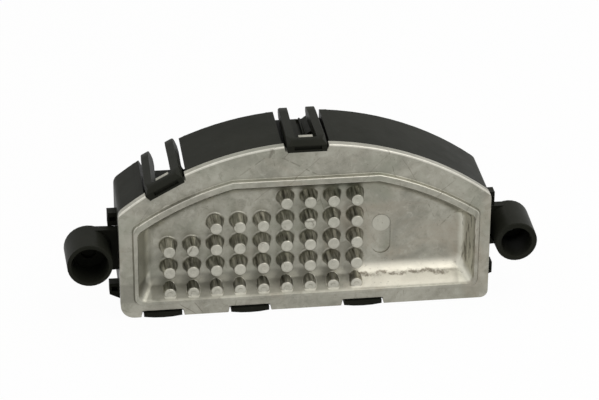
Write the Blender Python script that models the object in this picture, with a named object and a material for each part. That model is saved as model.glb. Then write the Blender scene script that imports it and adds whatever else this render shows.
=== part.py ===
# Electronic resistor of a car's heater blower.
# The cast heat sink faces -Y, the plug sockets face +Y, and the part stands on its flat bottom at Z = 0.
# Sizes are in millimetres and become metres when a mesh is made.
import math

import bpy
import bmesh

MM = 0.001

# Heat sink flange
PLATE_LEFT = 51.3
PLATE_RIGHT = 51.8
PLATE_PEAK = 50.3
PLATE_THICK = 2.5
ARCH_RADIUS = 82.3
ARCH_X = 0.5
CORNER_RADIUS = 3.0
FOOT_LEFT = 3.8
FOOT_RIGHT = 2.2
EDGE_BREAK = 0.3

# Raised rim and the dish inside it
RIM_LEFT = 47.7
RIM_RIGHT = 48.8
RIM_BOTTOM = 4.0
RIM_TOP_MARGIN = 9.4
RIM_ARCH_RADIUS = 83.0
RIM_ARCH_MARGIN = 6.9
RIM_ARCH_X = 0.3
RIM_HEIGHT = 1.25
RIM_SLOPE = 0.45
RIM_LAND = 0.9
RIM_LAND_TOP = 1.6
RIM_CORNER = 2.2
DISH_DEPTH = 5.0
DISH_DRAFT = 24.0
DISH_FILLET = 3.5
DISH_FLOOR = 2.6

# Cooling pins: how many stand in each row from the top, all rows ending at the same X on the right
PIN_COUNTS = (4, 7, 9, 9, 9)
PIN_PITCH = 6.5
PIN_BASE = 4.7
PIN_TIP = 3.4
PIN_EDGE = 0.35
PIN_HEIGHT = 5.2
PIN_LAST_X = 14.45
PIN_TOP_MARGIN = 17.55
PIN_SIDES = 14

# Shallow pad right of the pins
PAD_X = 21.9
PAD_LOW = 16.0
PAD_HIGH = 22.9
PAD_RADIUS = 2.65
PAD_DEPTH = 0.4

# Housing
JOINT_GAP = 0.3
FIT_GAP = 0.3
HOUSING_INSET = 0.15
HOUSING_BACK = 24.0
HOUSING_WALL = 2.0
HOUSING_ROUND = 0.6

# Snap loops over the arched top: tilt from upright, and how far below the peak a deeper floor lies (or None)
TOP_SNAPS = ((-0.15, None), (-28.3, 17.0))
POCKET_DEPTH = 3.3
SNAP_WIDTH = 10.8
SNAP_ARM = 2.4
SNAP_TAPER = 0.35
SNAP_THICK = 2.9
SNAP_PROUD = 1.5
SNAP_TAIL_PROUD = 0.9
SNAP_FRONT = 1.5
SNAP_BAR = 3.5
SNAP_CHAMFER = 1.1
SNAP_SLOT = 1.1
WEB_LENGTH = 3.8
NOTCH_DEPTH = 1.6
NOTCH_SLANT = 0.6
TOOTH_WIDTH = 4.0
TOOTH_SHIFT = 0.1
TOOTH_PROUD = 1.1
TOOTH_LENGTH = 2.7

# Hooks along the bottom
HOOK_X = (-39.65, -15.4, 16.25)
HOOK_WIDTH = 10.6
HOOK_THICK = 1.6
HOOK_TOOTH = 1.0
HOOK_TOOTH_FRONT = 0.9
HOOK_FRONT = 0.6

# Mounting tubes: centre X, centre Z, diameter in front and behind, bore, where the ear plate starts, lug reach
TUBES = ((-59.4, 17.5, 12.5, 13.3, 10.2, 8.0, 2.6), (59.2, 17.5, 11.7, 12.3, 8.5, 10.2, 3.3))
TUBE_FRONT = -1.0
TUBE_SIDES = 32
EAR_THICK = 2.6
EAR_LOW = 11.3
EAR_HIGH = 23.5
SCREW_HOLE = 4.6
LUG_FRONT = 10.6
LUG_THICK = 3.2
LUG_HIGH_MARGINS = (26.7, 22.7)
LUG_LOW = (2.1, 5.4)
LUG_SLANT = 1.8
LUG_SLOT = 1.4
LUG_SLOT_DEPTH = 1.6

# Plug sockets on the back: centre X, width and blade or pin positions
SOCKET_Z = 17.0
SOCKET_HEIGHT = 14.0
SOCKET_DEPTH = 11.0
SOCKET_WALL = 1.5
SOCKET_ROUND = 2.0
MOTOR_SOCKET = (-20.0, 24.0)
SUPPLY_SOCKET = (20.0, 32.0)
MOTOR_BLADES = (-5.0, 5.0)
SUPPLY_BLADES = (-9.6, 0.0)
SIGNAL_PINS = (8.0, 11.5)
BLADE_WIDTH = 6.3
BLADE_THICK = 0.8
BLADE_REACH = 8.5
PIN_WIDTH = 1.5
KEY_WIDTH = 2.0
KEY_HEIGHT = 1.2

# Inside: board, transistors on the sink, clamp and screws
BOARD_FRONT = 14.0
BOARD_THICK = 1.6
BOARD_LEFT = -46.0
BOARD_RIGHT = 46.0
BOARD_LOW = 3.5
BOARD_TOP_MARGIN = 20.3
BOARD_CORNER = 2.0
BOSS_DIAMETER = 6.0
BOSS_SIDE_X = 38.5
BOSS_SIDE_DROP = 6.0
BOSS_LOW_Z = 9.0
SCREW_DIAMETER = 2.4
SCREW_HEAD = 5.0
SCREW_HEAD_HEIGHT = 1.8
SCREW_BITE = 5.0
TRANSISTOR_X = (-14.0, 14.0)
TRANSISTOR_WIDTH = 15.9
TRANSISTOR_LOW = 13.0
TRANSISTOR_HEIGHT = 18.0
TRANSISTOR_THICK = 4.0
PAD_THICK = 0.3
PAD_MARGIN = 0.6
LEAD_PITCH = 5.45
LEAD_WIDTH = 1.2
LEAD_THICK = 0.6
LEAD_DROP = 4.0
CLAMP_Z = 22.0
CLAMP_HEIGHT = 8.0
CLAMP_THICK = 0.6
CLAMP_LENGTH = 36.0
CLAMP_SCREW_HEAD = 6.0

CAPACITORS = ((-41.0, 9.0), (-33.5, 9.0))
CAN_DIAMETER = 6.3
CAN_HEIGHT = 5.2
CHOKE_X = 40.5
CHOKE_Z = 8.4
CHOKE_DIAMETER = 8.2
CHOKE_HEIGHT = 4.8
SHUNT_X = -26.0
SHUNT_DROP = 3.5
SHUNT_LENGTH = 9.0
SHUNT_WIDTH = 3.0
SHUNT_HEIGHT = 2.4
SHUNT_THICK = 0.7
CHIP_X = 29.0
CHIP_Z = 8.0
CHIP_LENGTH = 10.0
CHIP_WIDTH = 5.0
CHIP_HEIGHT = 2.0

# Values that follow from the ones above
RIM_TOP = PLATE_PEAK - RIM_TOP_MARGIN
RIM_ARCH_CENTRE = PLATE_PEAK - RIM_ARCH_MARGIN - RIM_ARCH_RADIUS
PIN_TOP_Z = PLATE_PEAK - PIN_TOP_MARGIN
LUG_HIGH = (PLATE_PEAK - LUG_HIGH_MARGINS[0], PLATE_PEAK - LUG_HIGH_MARGINS[1])
BOARD_HIGH = PLATE_PEAK - BOARD_TOP_MARGIN
BOSS_SIDE_Z = BOARD_HIGH - BOSS_SIDE_DROP
BOARD_BOSSES = ((-BOSS_SIDE_X, BOSS_SIDE_Z), (BOSS_SIDE_X, BOSS_SIDE_Z), (0.0, BOSS_LOW_Z))
SHUNT_Z = BOARD_HIGH - SHUNT_DROP
ARCH_CENTRE = PLATE_PEAK - ARCH_RADIUS
HOUSING_FRONT = PLATE_THICK + JOINT_GAP
INNER_BACK = HOUSING_BACK - HOUSING_WALL
SINK_BACK = DISH_DEPTH + DISH_FLOOR
BOARD_BACK = BOARD_FRONT + BOARD_THICK
SOCKET_END = HOUSING_BACK + SOCKET_DEPTH
TOTAL_MIDDLE = (SOCKET_END - SNAP_FRONT) / 2
PAD_FRONT = SINK_BACK + FIT_GAP
TRANSISTOR_FRONT = PAD_FRONT + PAD_THICK + FIT_GAP
CLAMP_FRONT = TRANSISTOR_FRONT + TRANSISTOR_THICK + FIT_GAP


def clear_scene():
    for item in list(bpy.data.objects):
        bpy.data.objects.remove(item, do_unlink=True)


def make_material(name, colour, roughness, metallic):
    material = bpy.data.materials.new(name)
    material.use_nodes = True
    shader = material.node_tree.nodes["Principled BSDF"]
    shader.inputs["Base Color"].default_value = (*colour, 1.0)
    shader.inputs["Roughness"].default_value = roughness
    shader.inputs["Metallic"].default_value = metallic
    material.diffuse_color = (*colour, 1.0)
    return material


def arc(x, z, radius, start, end, steps):
    """Points on an arc in the XZ plane, both ends included; angles in degrees from +X towards +Z."""
    points = []
    for i in range(steps + 1):
        angle = math.radians(start + (end - start) * i / steps)
        points.append((x + radius * math.cos(angle), z + radius * math.sin(angle)))
    return points


def arched_outline(left, right, low, radius, centre, corner, feet, flat=None, steps=4, arch_steps=14):
    """Outline with a level bottom, upright sides and an arched top, cut level at height flat if given.

    The arch's centre and the two feet's radii come as pairs: (x, z) and (left, right).
    """
    middle, level = centre
    foot = feet[1]
    points = arc(right - foot, low + foot, foot, -90, 0, steps)
    sides = []
    for reach in (right - middle, left + middle):
        x = reach - corner
        z = level + math.sqrt((radius - corner) ** 2 - x * x)
        sides.append((x, z, math.degrees(math.atan2(z - level, x))))
    x, z, lean = sides[0]
    points += arc(middle + x, z, corner, 0, lean, steps)
    stop = 90.0
    if flat is not None:
        stop = math.degrees(math.asin((flat - level) / radius))
    points += arc(middle, level, radius, lean, stop, arch_steps)[1:]
    x, z, lean = sides[1]
    other = arc(middle, level, radius, 180 - stop, 180 - lean, arch_steps)[:-1]
    if flat is None:
        other = other[1:]
    points += other
    points += arc(middle - x, z, corner, 180 - lean, 180, steps)
    foot = feet[0]
    points += arc(-(left - foot), low + foot, foot, 180, 270, steps)
    return points


def plate_outline(inset=0.0):
    corner = max(CORNER_RADIUS - inset, 0.4)
    feet = (max(FOOT_LEFT - inset, 0.4), max(FOOT_RIGHT - inset, 0.4))
    return arched_outline(PLATE_LEFT - inset, PLATE_RIGHT - inset, inset, ARCH_RADIUS - inset,
                          (ARCH_X, ARCH_CENTRE), corner, feet)


def rim_outline(inset, top_extra=0.0):
    """Outline at an inset from the rim's foot; top_extra lowers the arched top further."""
    top = inset + top_extra
    return arched_outline(RIM_LEFT - inset, RIM_RIGHT - inset, RIM_BOTTOM + inset, RIM_ARCH_RADIUS - top,
                          (RIM_ARCH_X, RIM_ARCH_CENTRE), RIM_CORNER, (RIM_CORNER, RIM_CORNER),
                          flat=RIM_TOP - top, arch_steps=8)


def ring(outline, y):
    return [(x, y, z) for x, z in outline]


def mesh_object(name, bm, material=None):
    for vertex in bm.verts:
        vertex.co *= MM
    bmesh.ops.recalc_face_normals(bm, faces=bm.faces)
    mesh = bpy.data.meshes.new(name)
    bm.to_mesh(mesh)
    bm.free()
    item = bpy.data.objects.new(name, mesh)
    bpy.context.scene.collection.objects.link(item)
    if material is not None:
        mesh.materials.append(material)
    return item


def add_loft(bm, rings):
    """Skin rings of equally many points and cap both ends."""
    loops = [[bm.verts.new(point) for point in points] for points in rings]
    count = len(loops[0])
    for lower, upper in zip(loops, loops[1:]):
        for i in range(count):
            j = (i + 1) % count
            bm.faces.new((lower[i], lower[j], upper[j], upper[i]))
    bm.faces.new(list(reversed(loops[0])))
    bm.faces.new(loops[-1])


def loft(name, rings, material=None):
    bm = bmesh.new()
    add_loft(bm, rings)
    return mesh_object(name, bm, material)


def prism(name, outline, front, back, material=None):
    return loft(name, [ring(outline, front), ring(outline, back)], material)


def box(name, x, y, z, material=None):
    outline = [(x[0], z[0]), (x[1], z[0]), (x[1], z[1]), (x[0], z[1])]
    return prism(name, outline, y[0], y[1], material)


def rounded_box_outline(x, z, width, height, radius, steps=4):
    right, left = x + width / 2 - radius, x - width / 2 + radius
    high, low = z + height / 2 - radius, z - height / 2 + radius
    points = arc(right, low, radius, -90, 0, steps)
    points += arc(right, high, radius, 0, 90, steps)
    points += arc(left, high, radius, 90, 180, steps)
    points += arc(left, low, radius, 180, 270, steps)
    return points


def turned(name, x, z, profile, sides, material=None):
    """Solid turned about an axis along Y; the profile lists (radius, y) from front to back."""
    rings = []
    for radius, y in profile:
        rings.append(ring(arc(x, z, radius, 0, 360 - 360 / sides, sides - 1), y))
    return loft(name, rings, material)


def apply_boolean(target, tool, operation):
    """Cut or join tool with target, keep the result as target's mesh and drop the tool."""
    modifier = target.modifiers.new(operation.lower(), 'BOOLEAN')
    modifier.operation = operation
    modifier.solver = 'EXACT'
    modifier.object = tool
    graph = bpy.context.evaluated_depsgraph_get()
    result = bpy.data.meshes.new_from_object(target.evaluated_get(graph))
    old = target.data
    target.modifiers.clear()
    target.data = result
    bpy.data.meshes.remove(old)
    bpy.data.objects.remove(tool, do_unlink=True)


def join(target, tool):
    apply_boolean(target, tool, 'UNION')


def cut(target, tool):
    apply_boolean(target, tool, 'DIFFERENCE')


def finish(item, parent, angle=35.0):
    """Tidy the mesh, shade it smooth with sharp edges kept, and hang it on the parent."""
    bm = bmesh.new()
    bm.from_mesh(item.data)
    bmesh.ops.remove_doubles(bm, verts=bm.verts, dist=0.000002)
    bmesh.ops.dissolve_degenerate(bm, edges=bm.edges, dist=0.000002)
    bmesh.ops.dissolve_limit(bm, angle_limit=math.radians(0.05), verts=bm.verts, edges=bm.edges)
    bmesh.ops.triangulate(bm, faces=bm.faces)
    bm.to_mesh(item.data)
    bm.free()
    item.data.shade_smooth()
    item.data.set_sharp_from_angle(angle=math.radians(angle))
    item.parent = parent


def on_arch(tilt, across, out):
    """XZ point beside the arched edge: across it to the right, and out from it."""
    angle = math.radians(tilt)
    radius = ARCH_RADIUS + out
    x = ARCH_X + radius * math.sin(angle) + across * math.cos(angle)
    z = ARCH_CENTRE + radius * math.cos(angle) - across * math.sin(angle)
    return x, z


# Heat sink

def dish_profile():
    """Inset, further inset of the arched top, and depth, from the rim's crest to the dish floor."""
    draft = math.radians(DISH_DRAFT)
    extra = RIM_LAND_TOP - RIM_LAND
    profile = [(RIM_SLOPE, 0.0, -RIM_HEIGHT), (RIM_SLOPE + RIM_LAND, extra, -RIM_HEIGHT)]
    centre = DISH_DEPTH - DISH_FILLET
    wall_end = centre + DISH_FILLET * math.sin(draft)
    inset = RIM_SLOPE + RIM_LAND + (wall_end + RIM_HEIGHT) * math.tan(draft)
    steps = 4
    for i in range(steps + 1):
        angle = draft + (math.pi / 2 - draft) * i / steps
        across = DISH_FILLET * (math.cos(draft) - math.cos(angle))
        profile.append((inset + across, extra, centre + DISH_FILLET * math.sin(angle)))
    return profile


def notch_outline(tilt, width):
    half = width / 2 + FIT_GAP
    deep = -NOTCH_DEPTH
    corners = ((-half, deep), (half, deep), (half + NOTCH_SLANT, 1.0), (-half - NOTCH_SLANT, 1.0))
    return [on_arch(tilt, u, v) for u, v in corners]


def bottom_notch_outline(x):
    half = HOOK_WIDTH / 2 + FIT_GAP
    top = HOOK_THICK + FIT_GAP
    return [(x - half - NOTCH_SLANT, -1.0), (x + half + NOTCH_SLANT, -1.0), (x + half, top), (x - half, top)]


def top_tooth(tilt):
    """Cast tooth behind the snap's crossbar, rooted on the back of the flange below the notch."""
    root = -NOTCH_DEPTH - 0.9
    bar_back = SNAP_BAR - SNAP_FRONT + FIT_GAP
    back = bar_back + TOOTH_LENGTH
    section = ((PLATE_THICK - 0.8, root), (back, root), (back, TOOTH_PROUD - 0.7),
               (back - 0.7, TOOTH_PROUD), (bar_back, TOOTH_PROUD), (bar_back, -NOTCH_DEPTH - 0.1),
               (PLATE_THICK - 0.8, -NOTCH_DEPTH - 0.1))
    loops = []
    for side in (-1, 1):
        u = TOOTH_SHIFT + side * TOOTH_WIDTH / 2
        loops.append([(on_arch(tilt, u, v)[0], y, on_arch(tilt, u, v)[1]) for y, v in section])
    return loft("tooth", loops)


def bottom_tooth(x):
    half = TOOTH_WIDTH / 2
    top = HOOK_THICK + FIT_GAP
    root = top + 0.9
    front = PLATE_THICK - HOOK_TOOTH_FRONT
    section = ((front, root), (front, HOOK_TOOTH), (PLATE_THICK + 0.9, HOOK_TOOTH), (PLATE_THICK + 1.6, root))
    return loft("tooth", [[(x + side * half, y, z) for y, z in section] for side in (-1, 1)])


def cooling_pins():
    """All the tapered pins as one mesh, each a closed body rooted in the dish floor."""
    bm = bmesh.new()
    tip = DISH_DEPTH - PIN_HEIGHT
    for row, count in enumerate(PIN_COUNTS):
        z = PIN_TOP_Z - row * PIN_PITCH
        if z < RIM_BOTTOM + PIN_BASE / 2:
            break
        for column in range(count):
            x = PIN_LAST_X - column * PIN_PITCH
            loops = []
            profile = ((PIN_TIP / 2 - PIN_EDGE, tip), (PIN_TIP / 2, tip + PIN_EDGE),
                       (PIN_BASE / 2, DISH_DEPTH + 0.5))
            for radius, y in profile:
                circle = arc(x, z, radius, 0, 360 - 360 / PIN_SIDES, PIN_SIDES - 1)
                loops.append(ring(circle, y))
            add_loft(bm, loops)
    return mesh_object("pins", bm)


def board_boss(x, z, end, hole):
    boss = turned("boss", x, z, ((BOSS_DIAMETER / 2, DISH_DEPTH + 0.8), (BOSS_DIAMETER / 2, end - 0.4),
                                 (BOSS_DIAMETER / 2 - 0.4, end)), 16)
    drill = turned("drill", x, z, ((hole / 2, end - SCREW_BITE - 0.4), (hole / 2, end + 1)), 12)
    return boss, drill


def make_heat_sink(material):
    bulge = [(3.4, SINK_BACK), (2.4, SINK_BACK - 0.9), (0.5, PLATE_THICK - 0.3), (0.0, 0.4), (0.0, 0.0)]
    profile = [(inset, 0.0, y) for inset, y in bulge] + dish_profile()
    sink = loft("heat_sink", [ring(rim_outline(inset, extra), y) for inset, extra, y in profile], material)
    flange = loft("flange", [ring(plate_outline(EDGE_BREAK), 0), ring(plate_outline(), EDGE_BREAK),
                             ring(plate_outline(), PLATE_THICK)])
    cut(flange, prism("window", rim_outline(0.9), -1, PLATE_THICK + 1))
    for tilt, _ in TOP_SNAPS:
        cut(flange, prism("notch", notch_outline(tilt, SNAP_WIDTH), -1, PLATE_THICK + 1))
    for x in HOOK_X:
        cut(flange, prism("notch", bottom_notch_outline(x), -1, PLATE_THICK + 1))
    join(sink, flange)
    for tilt, _ in TOP_SNAPS:
        join(sink, top_tooth(tilt))
    for x in HOOK_X:
        join(sink, bottom_tooth(x))
    join(sink, cooling_pins())
    pad = arc(PAD_X, PAD_HIGH, PAD_RADIUS, 0, 180, 8) + arc(PAD_X, PAD_LOW, PAD_RADIUS, 180, 360, 8)
    cut(sink, prism("pad", pad, DISH_DEPTH - 1, DISH_DEPTH + PAD_DEPTH))
    hole = SCREW_DIAMETER + 2 * FIT_GAP
    bosses = [(x, z, BOARD_FRONT - FIT_GAP) for x, z in BOARD_BOSSES]
    bosses.append((0.0, CLAMP_Z, CLAMP_FRONT - FIT_GAP))
    for x, z, end in bosses:
        boss, drill = board_boss(x, z, end, hole)
        join(sink, boss)
        cut(sink, drill)
    return sink


# Housing

def pocket_outline(tilt, half, depth, top):
    """Pocket round a top snap, square to the arch."""
    return [on_arch(tilt, u, v) for u, v in ((-half, -depth), (half, -depth), (half, top), (-half, top))]


def deep_pocket_outline(tilt, floor, half, top):
    """Deeper pocket behind: its sides run straight in from the arch down to a level floor."""
    points = [on_arch(tilt, half, top), on_arch(tilt, -half, top)]
    lean = math.tan(math.radians(tilt))
    for u in (-half, half):
        x, z = on_arch(tilt, u, top)
        points.append((x - (z - floor) * lean, floor))
    return points


def snap_stations():
    """Sections of a top snap from a tail to the front corner.

    Each gives the outer and inner edge's Y, the inward shift, the under and top side and the outer
    edge's chamfer across and down.
    """
    under = SNAP_PROUD - SNAP_THICK
    front = -SNAP_FRONT
    bar_back = SNAP_BAR - SNAP_FRONT
    middle = (front + HOUSING_BACK) / 2
    return ((HOUSING_BACK, HOUSING_BACK, 1.0, under + 0.4, SNAP_TAIL_PROUD - 0.7, 0.2, 0.2),
            (HOUSING_BACK - 1.2, HOUSING_BACK - 1.2, 0.95, under - 0.6, SNAP_TAIL_PROUD, 0.25, 0.2),
            (HOUSING_BACK - 4.5, HOUSING_BACK - 4.5, 0.8, under - 0.9, SNAP_TAIL_PROUD + 0.3, 0.25, 0.2),
            (middle, middle, 0.45, under - 0.3, SNAP_PROUD - 0.3, 0.25, 0.2),
            (bar_back + 1.5, bar_back + 1.5, 0.1, under, SNAP_PROUD, 0.25, 0.25),
            (front, bar_back, 0.0, under, SNAP_PROUD, SNAP_CHAMFER, SNAP_CHAMFER * 0.85))


def snap_loop(tilt):
    """Crossbar and both arms of a top snap, bent as one bar from tail to tail."""
    loops = []
    for side in (-1, 1):
        sections = []
        for outer_y, inner_y, share, low, high, across, down in snap_stations():
            outer = side * (SNAP_WIDTH / 2 - SNAP_TAPER * share)
            inner = side * (SNAP_WIDTH / 2 - SNAP_ARM - SNAP_TAPER * share)
            part = across / SNAP_ARM
            edge = outer + (inner - outer) * part
            edge_y = outer_y + (inner_y - outer_y) * part
            corners = ((outer, outer_y, low), (inner, inner_y, low), (inner, inner_y, high),
                       (edge, edge_y, high), (outer, outer_y, high - down))
            points = []
            for u, y, v in corners:
                x, z = on_arch(tilt, u, v)
                points.append((x, y, z))
            sections.append(points)
        if side > 0:
            sections.reverse()
        loops += sections
    return loft("snap", loops)


def add_top_snap(shell, tilt, floor):
    half = SNAP_WIDTH / 2 + SNAP_SLOT
    wall = HOUSING_WALL
    deep_front = SINK_BACK + 2 * FIT_GAP + wall
    tub = pocket_outline(tilt, half + wall, POCKET_DEPTH + wall, -0.6)
    pocket = pocket_outline(tilt, half, POCKET_DEPTH, 4.0)
    join(shell, prism("tub", tub, HOUSING_FRONT, HOUSING_BACK - 0.4))
    if floor is not None:
        deep_tub = deep_pocket_outline(tilt, floor - wall, half + wall - 0.3, -POCKET_DEPTH)
        join(shell, prism("deep_tub", deep_tub, deep_front - wall, HOUSING_BACK - 0.4))
    cut(shell, prism("pocket", pocket, HOUSING_FRONT - 1, HOUSING_BACK + 1))
    if floor is not None:
        deep = deep_pocket_outline(tilt, floor, half - 0.3, 0.3 - POCKET_DEPTH)
        cut(shell, prism("deep_pocket", deep, deep_front, HOUSING_BACK + 1))
    under = SNAP_PROUD - SNAP_THICK
    snap = snap_loop(tilt)
    for side in (-1, 1):
        middle = side * (SNAP_WIDTH / 2 - SNAP_ARM / 2 - 0.1)
        thin = SNAP_ARM / 2 - 0.15
        web = ((middle - thin, -POCKET_DEPTH - 0.5), (middle + thin, -POCKET_DEPTH - 0.5),
               (middle + thin, under + 0.4), (middle - thin, under + 0.4))
        join(snap, prism("web", [on_arch(tilt, u, v) for u, v in web], deep_front - WEB_LENGTH, deep_front - 0.3))
    join(shell, snap)


def add_hook(shell, x):
    """Hook under the flange: a crossbar in the notch on two short arms from the bottom wall."""
    half = HOOK_WIDTH / 2
    top = HOOK_THICK
    outline = [(x - half, top), (x - half, 0.45), (x - half / 2, 0.1), (x, 0.0), (x + half / 2, 0.1),
               (x + half, 0.45), (x + half, top)]
    join(shell, prism("hook", outline, -HOOK_FRONT, HOUSING_FRONT + HOUSING_WALL))
    window = TOOTH_WIDTH / 2 + 2 * FIT_GAP
    cut(shell, box("gap", (x - window, x + window), (PLATE_THICK - HOOK_TOOTH_FRONT - FIT_GAP, HOUSING_FRONT + 1.6),
                   (-1, HOUSING_WALL + 2)))


def add_lug(shell, side, wall, reach, span, slant):
    """Block beside the ear with a slot across its front; slant drops its underside towards the wall."""
    low, high = span
    outer = side * (wall + reach)
    inner = side * (wall - 1.0)
    outline = [(inner, low - slant), (outer, low), (outer, high), (inner, high)]
    join(shell, prism("lug", outline, LUG_FRONT, LUG_FRONT + LUG_THICK))
    middle = (low + high) / 2
    near = side * (wall + 0.3)
    far = side * (wall + reach - 0.6)
    cut(shell, box("slot", (min(near, far), max(near, far)), (LUG_FRONT - 1, LUG_FRONT + LUG_SLOT_DEPTH),
                   (middle - LUG_SLOT / 2, middle + LUG_SLOT / 2)))


def add_mount(shell, x, z, outer, root, bore, ear_front, lug_reach):
    """Mounting tube, wider at its root, with its ear plate, screw floor and the two side lugs."""
    side = 1 if x > 0 else -1
    wall = (PLATE_RIGHT if x > 0 else PLATE_LEFT) - HOUSING_INSET
    ear_back = ear_front + EAR_THICK
    ear = [(side * (wall - 1.0), EAR_LOW), (x, z - root / 2 + 0.3), (x, z + root / 2 - 0.3),
           (side * (wall - 1.0), EAR_HIGH)]
    join(shell, prism("ear", ear, ear_front, ear_back))
    join(shell, turned("tube", x, z, ((outer / 2 - 0.25, TUBE_FRONT), (outer / 2, TUBE_FRONT + 0.25),
                                      (root / 2, ear_back)), TUBE_SIDES))
    cut(shell, turned("bore", x, z, ((bore / 2 + 0.25, TUBE_FRONT - 0.25), (bore / 2, TUBE_FRONT + 0.3),
                                     (bore / 2 - 0.2, ear_front)), TUBE_SIDES))
    cut(shell, turned("hole", x, z, ((SCREW_HOLE / 2, ear_front - 1), (SCREW_HOLE / 2, ear_back + 1)), 16))
    for span, slant in ((LUG_HIGH, 0.0), (LUG_LOW, LUG_SLANT)):
        add_lug(shell, side, wall, lug_reach, span, slant)


def add_socket(shell, centre, width, blades, pins):
    """Plug socket on the back wall, with a coding rib and slots for its blades and pins."""
    outer = rounded_box_outline(centre, SOCKET_Z, width, SOCKET_HEIGHT, SOCKET_ROUND)
    join(shell, prism("shroud", outer, INNER_BACK + 0.5, SOCKET_END))
    inner = rounded_box_outline(centre, SOCKET_Z, width - 2 * SOCKET_WALL, SOCKET_HEIGHT - 2 * SOCKET_WALL,
                                SOCKET_ROUND - 0.8)
    cut(shell, prism("inside", inner, HOUSING_BACK, SOCKET_END + 1))
    top = SOCKET_Z + SOCKET_HEIGHT / 2 - SOCKET_WALL
    key = box("key", (centre - KEY_WIDTH / 2, centre + KEY_WIDTH / 2), (HOUSING_BACK - 0.5, SOCKET_END - 1.0),
              (top - KEY_HEIGHT, top + 0.5))
    join(shell, key)
    for offset in blades:
        half = (BLADE_WIDTH / 2 + FIT_GAP, BLADE_THICK / 2 + FIT_GAP)
        cut(shell, box("slot", (centre + offset - half[0], centre + offset + half[0]),
                       (INNER_BACK - 1, HOUSING_BACK + 1), (SOCKET_Z - half[1], SOCKET_Z + half[1])))
    for offset in pins:
        half = (PIN_WIDTH / 2 + FIT_GAP, BLADE_THICK / 2 + FIT_GAP)
        cut(shell, box("slot", (centre + offset - half[0], centre + offset + half[0]),
                       (INNER_BACK - 1, HOUSING_BACK + 1), (SOCKET_Z - half[1], SOCKET_Z + half[1])))


def make_housing(material):
    outer = HOUSING_INSET
    shell = loft("housing", [ring(plate_outline(outer), HOUSING_FRONT),
                             ring(plate_outline(outer), HOUSING_BACK - HOUSING_ROUND),
                             ring(plate_outline(outer + HOUSING_ROUND * 0.3), HOUSING_BACK - HOUSING_ROUND * 0.3),
                             ring(plate_outline(outer + HOUSING_ROUND), HOUSING_BACK)], material)
    cut(shell, prism("cavity", plate_outline(outer + HOUSING_WALL), HOUSING_FRONT - 1, INNER_BACK))
    for tilt, drop in TOP_SNAPS:
        floor = None if drop is None else PLATE_PEAK - drop
        add_top_snap(shell, tilt, floor)
    for x in HOOK_X:
        add_hook(shell, x)
    for mount in TUBES:
        add_mount(shell, *mount)
    add_socket(shell, *MOTOR_SOCKET, MOTOR_BLADES, ())
    add_socket(shell, *SUPPLY_SOCKET, SUPPLY_BLADES, SIGNAL_PINS)
    return shell


# Pieces inside

def blade_places():
    """Name, X and width of every blade and pin of both sockets."""
    places = []
    for i, offset in enumerate(MOTOR_BLADES):
        places.append((f"motor_blade_{i + 1}", MOTOR_SOCKET[0] + offset, BLADE_WIDTH))
    for i, offset in enumerate(SUPPLY_BLADES):
        places.append((f"supply_blade_{i + 1}", SUPPLY_SOCKET[0] + offset, BLADE_WIDTH))
    for i, offset in enumerate(SIGNAL_PINS):
        places.append((f"signal_pin_{i + 1}", SUPPLY_SOCKET[0] + offset, PIN_WIDTH))
    return places


def tail_width(width):
    return min(width, 2.4)


def make_blade(name, x, width, material):
    """Flat contact: a narrow tail through the board, a shoulder and a blade with a chamfered end."""
    tail = tail_width(width) / 2
    half = width / 2
    end = HOUSING_BACK + BLADE_REACH
    shoulder = BOARD_BACK + FIT_GAP
    side = [(-tail, BOARD_FRONT - 1.0), (tail, BOARD_FRONT - 1.0), (tail, shoulder), (half, shoulder),
            (half, end - 1.0), (half - 0.5, end), (-half + 0.5, end), (-half, end - 1.0),
            (-half, shoulder), (-tail, shoulder)]
    if half - tail < 0.01:
        side = [(-half, BOARD_FRONT - 1.0), (half, BOARD_FRONT - 1.0), (half, end - 1.0),
                (half - 0.3, end), (-half + 0.3, end), (-half, end - 1.0)]
    thick = BLADE_THICK / 2
    loops = [[(x + u, y, SOCKET_Z + level) for u, y in side] for level in (-thick, thick)]
    return loft(name, loops, material)


def make_board(material):
    width = BOARD_RIGHT - BOARD_LEFT
    height = BOARD_HIGH - BOARD_LOW
    outline = rounded_box_outline((BOARD_LEFT + BOARD_RIGHT) / 2, (BOARD_LOW + BOARD_HIGH) / 2, width, height,
                                  BOARD_CORNER)
    board = prism("circuit_board", outline, BOARD_FRONT, BOARD_BACK, material)
    front, back = BOARD_FRONT - 1, BOARD_BACK + 1
    for x, z in BOARD_BOSSES:
        radius = SCREW_DIAMETER / 2 + FIT_GAP
        cut(board, turned("hole", x, z, ((radius, front), (radius, back)), 16))
    access = CLAMP_SCREW_HEAD / 2 + 0.8
    cut(board, turned("hole", 0.0, CLAMP_Z, ((access, front), (access, back)), 24))
    for _, x, width in blade_places():
        half = tail_width(width) / 2 + FIT_GAP
        low, high = SOCKET_Z - BLADE_THICK / 2 - FIT_GAP, SOCKET_Z + BLADE_THICK / 2 + FIT_GAP
        cut(board, box("slot", (x - half, x + half), (front, back), (low, high)))
    lead_z = TRANSISTOR_LOW - LEAD_DROP
    for centre in TRANSISTOR_X:
        for step in (-1, 0, 1):
            x = centre + step * LEAD_PITCH
            half = LEAD_WIDTH / 2 + FIT_GAP
            low, high = lead_z - LEAD_THICK / 2 - FIT_GAP, lead_z + LEAD_THICK / 2 + FIT_GAP
            cut(board, box("slot", (x - half, x + half), (front, back), (low, high)))
    return board


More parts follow.
